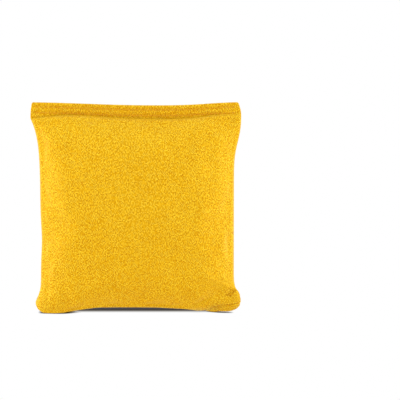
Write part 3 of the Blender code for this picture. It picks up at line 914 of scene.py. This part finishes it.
def canvas_material():
    """Plain-woven duck: yarns that pass over and under each other, each a little unlike its neighbour."""
    made, tree, surface = new_material("canvas")
    place = tree.nodes.new("ShaderNodeAttribute")
    place.attribute_name = "cloth"
    split = tree.nodes.new("ShaderNodeSeparateXYZ")
    tree.links.new(place.outputs["Vector"], split.inputs[0])
    u, v, side = split.outputs
    wander = noise(tree, combine(tree, u, v, side), WANDER_SCALE)
    bend = math_node(tree, "MULTIPLY", math_node(tree, "SUBTRACT", wander, MIDDLE), WANDER)
    across = math_node(tree, "DIVIDE", math_node(tree, "ADD", u, bend), WARP)
    upward = math_node(tree, "DIVIDE", math_node(tree, "ADD", v, bend), WEFT)
    column = math_node(tree, "FLOOR", across)
    row = math_node(tree, "FLOOR", upward)

    # The warp shows where it is over, and the weft everywhere else
    over = math_node(tree, "PINGPONG", math_node(tree, "ADD", column, row), 1.0)
    under = math_node(tree, "SUBTRACT", 1.0, over)
    arch_across, arch_up = yarn_arch(tree, across), yarn_arch(tree, upward)
    warp = math_node(tree, "MULTIPLY", yarn_height(tree, arch_across, arch_up), over)
    weft = math_node(tree, "MULTIPLY", yarn_height(tree, arch_up, arch_across), under)
    height = math_node(tree, "ADD", warp, weft)

    # Tones along the yarns, spots where they cross, and broad patches
    warp_place = combine(tree, math_node(tree, "MULTIPLY", column, WARP_TONE_STEP),
                         math_node(tree, "MULTIPLY", v, WARP_TONE_SCALE), side)
    weft_place = combine(tree, math_node(tree, "MULTIPLY", u, WEFT_TONE_SCALE),
                         math_node(tree, "MULTIPLY", row, WEFT_TONE_STEP), side)
    warp_tone = math_node(tree, "MULTIPLY", noise(tree, warp_place, 1.0), WARP_TONE_SHARE)
    weft_tone = math_node(tree, "MULTIPLY", noise(tree, weft_place, 1.0), WEFT_TONE_SHARE)
    tone = math_node(tree, "ADD", warp_tone, weft_tone)
    broad = noise(tree, combine(tree, u, v, side), BROAD_SCALE)
    shade = math_node(tree, "MULTIPLY", yarn_spots(tree, column, row, side), SPOT_SHARE)
    for value, share in ((over, OVER_SHARE), (tone, TONE_SHARE), (broad, BROAD_SHARE)):
        part = math_node(tree, "MULTIPLY", math_node(tree, "SUBTRACT", value, MIDDLE), share)
        shade = math_node(tree, "ADD", shade, part)
    yarn = ramp(tree, ranged(tree, shade, -SHADE_REACH, SHADE_REACH), YARN_COLOURS)

    # Painted shade in the gaps, where the yarns lie low
    colour = mix_colour(tree, ranged(tree, height, *GAP_PAINTED_SHADE_HEIGHTS), GAP_PAINTED_SHADE, yarn)
    tree.links.new(colour, surface.inputs["Base Color"])
    tree.links.new(ranged(tree, height, 0, 1, *CANVAS_ROUGHNESS), surface.inputs["Roughness"])
    surface.inputs["Sheen Weight"].default_value = CANVAS_SHEEN
    surface.inputs["Sheen Roughness"].default_value = CANVAS_SHEEN_ROUGHNESS
    surface.inputs["Sheen Tint"].default_value = CANVAS_SHEEN_TINT
    surface.inputs["Specular IOR Level"].default_value = CANVAS_SPECULAR
    add_bump(tree, surface, height, CANVAS_BUMP, CANVAS_BUMP_HEIGHT)
    return made


# Thread
TWIST_SCALE = 900.0
# Painted shade: the first, darker colour shows in the twist's grooves, where its bump is low
THREAD_GROOVE_SHADE_AND_COLOUR = ((0.72, 0.33, 0.002, 1.0), (0.95, 0.53, 0.01, 1.0))
THREAD_ROUGHNESS = 0.55
THREAD_BUMP, THREAD_BUMP_HEIGHT = 0.5, 0.0001


def thread_material():
    made, tree, surface = new_material("sewing_thread")
    coordinates = tree.nodes.new("ShaderNodeTexCoord")
    wave = tree.nodes.new("ShaderNodeTexWave")
    wave.bands_direction = "DIAGONAL"
    wave.inputs["Scale"].default_value = TWIST_SCALE
    tree.links.new(coordinates.outputs["Object"], wave.inputs["Vector"])
    # Darker where the bump is low: painted shade in the twist's grooves
    tree.links.new(mix_colour(tree, wave.outputs["Fac"], *THREAD_GROOVE_SHADE_AND_COLOUR), surface.inputs["Base Color"])
    surface.inputs["Roughness"].default_value = THREAD_ROUGHNESS
    add_bump(tree, surface, wave.outputs["Fac"], THREAD_BUMP, THREAD_BUMP_HEIGHT)
    return made


# Corn
MOTTLE_SCALE, MOTTLE_DETAIL = 220.0, 3.0
MOTTLE_RANGE = (0.3, 0.7)
CORN_COLOURS = ((0.62, 0.30, 0.03, 1.0), (0.86, 0.58, 0.16, 1.0))
CORN_ROUGHNESS = 0.4


def corn_material():
    made, tree, surface = new_material("corn")
    coordinates = tree.nodes.new("ShaderNodeTexCoord")
    mottle = noise(tree, coordinates.outputs["Object"], MOTTLE_SCALE, MOTTLE_DETAIL)
    colour = mix_colour(tree, ranged(tree, mottle, *MOTTLE_RANGE), *CORN_COLOURS)
    tree.links.new(colour, surface.inputs["Base Color"])
    surface.inputs["Roughness"].default_value = CORN_ROUGHNESS
    return made


def finish_piece(piece, material, slot, *nodes):
    """Gives a piece its material, hangs it on the root body and hides the part's nodes that it stands in for.
    """
    piece.data.materials.clear()
    piece.data.materials.append(material)
    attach(piece, "root")
    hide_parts(*nodes)


# Camera: the photograph's view, a little from above, with the bag left of the middle
PHOTO_SIZE = 400
PIXELS_PER_METRE = 1364.0
BAG_MIDDLE_PIXEL = 136.7
FLOOR_PIXEL = 312.5
CAMERA_DISTANCE = 1.5
CAMERA_ELEVATION = math.radians(6)
CLIP_START = 0.01
SENSOR = 36.0


def add_camera():
    data = bpy.data.cameras.new("camera")
    data.sensor_width = SENSOR
    data.lens = SENSOR * CAMERA_DISTANCE * PIXELS_PER_METRE / PHOTO_SIZE
    data.clip_start = CLIP_START
    camera = bpy.data.objects.new("camera", data)
    bpy.context.scene.collection.objects.link(camera)
    aim_x = (PHOTO_SIZE / 2 - BAG_MIDDLE_PIXEL) / PIXELS_PER_METRE
    aim_z = (FLOOR_PIXEL - PHOTO_SIZE / 2) / PIXELS_PER_METRE / math.cos(CAMERA_ELEVATION)
    back = CAMERA_DISTANCE * math.cos(CAMERA_ELEVATION)
    rise = CAMERA_DISTANCE * math.sin(CAMERA_ELEVATION)
    camera.location = (aim_x, -back, aim_z + rise)
    camera.rotation_euler = (math.pi / 2 - CAMERA_ELEVATION, 0, 0)
    bpy.context.scene.camera = camera


# Light: place, size of the square lamp, and power
WORLD_STRENGTH = 0.61
LIGHTS = {
    "key_top": ((-0.1, -0.82, 0.98), 0.9, 6.1),
    "left_side": ((-1.0, 0.13, 0.35), 0.7, 7.5),
    "right_side": ((1.0, 0.13, 0.35), 0.7, 7.5),
}
LIGHT_TARGET = (0, 0, 0.08)


def add_light(name, place, size, power):
    data = bpy.data.lights.new(name, "AREA")
    data.shape = "SQUARE"
    data.size = size
    data.energy = power
    light = bpy.data.objects.new(name, data)
    light.location = place
    light.rotation_euler = (Vector(LIGHT_TARGET) - Vector(place)).to_track_quat("-Z", "Y").to_euler()
    bpy.context.scene.collection.objects.link(light)


def shown_straight(tree):
    """1 for rays that show the backdrop itself: to the camera, off gloss or through glass."""
    path = tree.nodes.new("ShaderNodeLightPath")
    shown = math_node(tree, "MAXIMUM", path.outputs["Is Camera Ray"], path.outputs["Is Glossy Ray"])
    return math_node(tree, "MAXIMUM", shown, path.outputs["Is Transmission Ray"])


def add_world():
    """White where it is seen itself, and a plain even light on the bag."""
    world = bpy.data.worlds.new("studio")
    bpy.context.scene.world = world
    world.use_nodes = True
    tree = world.node_tree
    background = tree.nodes["Background"]
    background.inputs["Color"].default_value = (1, 1, 1, 1)
    strength = ranged(tree, shown_straight(tree), 0, 1, WORLD_STRENGTH, 1.0)
    tree.links.new(strength, background.inputs["Strength"])


# Floor
FLOOR_RADIUS, FLOOR_SIDES = 3.0, 96
FLOOR_PAINTED_SHADOW_PAPER = (0.075, 0.09, 0.145, 1.0)  # painted shadow: a dark bluish colour, still lit by the lamps, shown where the bag's shadow is full
FLOOR_GLOW = (1.18, 1.0, 0.55, 1.0)  # what the bag gets back from the floor, which its own light warms
FLOOR_GLOW_STRENGTH = 0.95
# The painted shadow: the dark paper shows where the bag closes a place in, within these reaches, and in a
# patch behind the seam set by place on the floor
SHADOW_REACH = 0.06  # how near the bag has to be to shade a place behind its seam
SHADOW_SHARES = (0.72, 0.92)  # how open a place is where that shadow is full, and where it ends
SHADOW_DEPTHS = (0.0073, -0.0035)  # how far behind the seam it is full, and where it ends
SHADOW_HALF_WIDTHS = (0.060, 0.071)  # from the middle to where it is full, and to where it ends
CONTACT_REACH = 0.0025  # how near the bag has to be to shade a place beside it
CONTACT_SHARES = (0.2, 0.8)  # how open a place is where that shadow is full, and where it ends


def openness(tree, reach):
    """How open each place is: 1 where nothing is nearer than reach, 0 where it is covered all round."""
    node = tree.nodes.new("ShaderNodeAmbientOcclusion")
    node.inputs["Distance"].default_value = reach
    return node.outputs["AO"]


def add_floor():
    """A floor with a painted shadow where the bag closes over it and in a patch behind its seam, and plain
    white further out: the shadow is a dark paper that the lamps still light, so it is partly real shade and
    partly painted.
    """
    bpy.ops.mesh.primitive_circle_add(vertices=FLOOR_SIDES, radius=FLOOR_RADIUS, fill_type="NGON")
    floor = bpy.context.object
    floor.name = "floor"
    made, tree, surface = new_material("floor_white_and_painted_shadow")
    tree.nodes.remove(surface)
    out = tree.nodes["Material Output"]
    painted_shadow = tree.nodes.new("ShaderNodeBsdfDiffuse")
    painted_shadow.inputs["Color"].default_value = FLOOR_PAINTED_SHADOW_PAPER
    plain = tree.nodes.new("ShaderNodeEmission")
    shown = shown_straight(tree)
    tree.links.new(mix_colour(tree, shown, FLOOR_GLOW, (1, 1, 1, 1)), plain.inputs["Color"])
    tree.links.new(ranged(tree, shown, 0, 1, FLOOR_GLOW_STRENGTH, 1.0), plain.inputs["Strength"])
    coordinates = tree.nodes.new("ShaderNodeTexCoord")
    split = tree.nodes.new("ShaderNodeSeparateXYZ")
    tree.links.new(coordinates.outputs["Object"], split.inputs[0])

    # Painted shadow: each of these is 0 where the dark paper shows in full and 1 where the floor is plain
    # white
    behind = ranged(tree, openness(tree, SHADOW_REACH), *SHADOW_SHARES)
    forward = ranged(tree, split.outputs["Y"], *SHADOW_DEPTHS)
    outside = ranged(tree, math_node(tree, "ABSOLUTE", split.outputs["X"]), *SHADOW_HALF_WIDTHS)
    beside = ranged(tree, openness(tree, CONTACT_REACH), *CONTACT_SHARES)
    behind = math_node(tree, "MAXIMUM", math_node(tree, "MAXIMUM", behind, forward), outside)
    white = math_node(tree, "MINIMUM", behind, beside)

    unseen = math_node(tree, "SUBTRACT", 1.0, shown)
    mix = tree.nodes.new("ShaderNodeMixShader")
    tree.links.new(math_node(tree, "MAXIMUM", white, unseen), mix.inputs[0])
    tree.links.new(painted_shadow.outputs[0], mix.inputs[1])
    tree.links.new(plain.outputs[0], mix.inputs[2])
    tree.links.new(mix.outputs[0], out.inputs["Surface"])
    floor.data.materials.append(made)


def main():
    scene = bpy.context.scene
    scene.view_settings.view_transform = "Standard"
    add_camera()
    add_world()
    for name, (place, size, power) in LIGHTS.items():
        add_light(name, place, size, power)
    add_floor()
    front_moves, back_moves = settled_moves()
    canvas = canvas_material()
    thread = thread_material()
    front = make_panel("front_cover", FRONT, front_moves)
    back = make_panel("back_cover", BACK, back_moves)
    finish_piece(front, canvas, "canvas", "front_panel")
    finish_piece(back, canvas, "canvas", "back_panel")
    for row, drop in {"upper": UPPER_ROW, "lower": LOWER_ROW}.items():
        for kind, side in {"needle": FRONT, "bobbin": BACK}.items():
            stitches = make_hem_stitches(f"hem_{row}_{kind}_stitches", side, drop)
            finish_piece(stitches, thread, "thread", f"hem_{row}_{kind}_thread")
    seam = make_seam_stitches("seam_stitches")
    finish_piece(seam, thread, "thread", "seam_crease_thread")
    for place, (first, last) in INNER_ROWS.items():
        for kind, side in {"needle": FRONT, "bobbin": BACK}.items():
            stitches = make_inner_stitches(f"{place}_seam_{kind}_stitches", side, first, last)
            finish_piece(stitches, thread, "thread", f"{place}_seam_{kind}_thread")
    corn = make_corn("corn", front_moves, back_moves)
    finish_piece(corn, corn_material(), "corn", "corn_fill")


main()
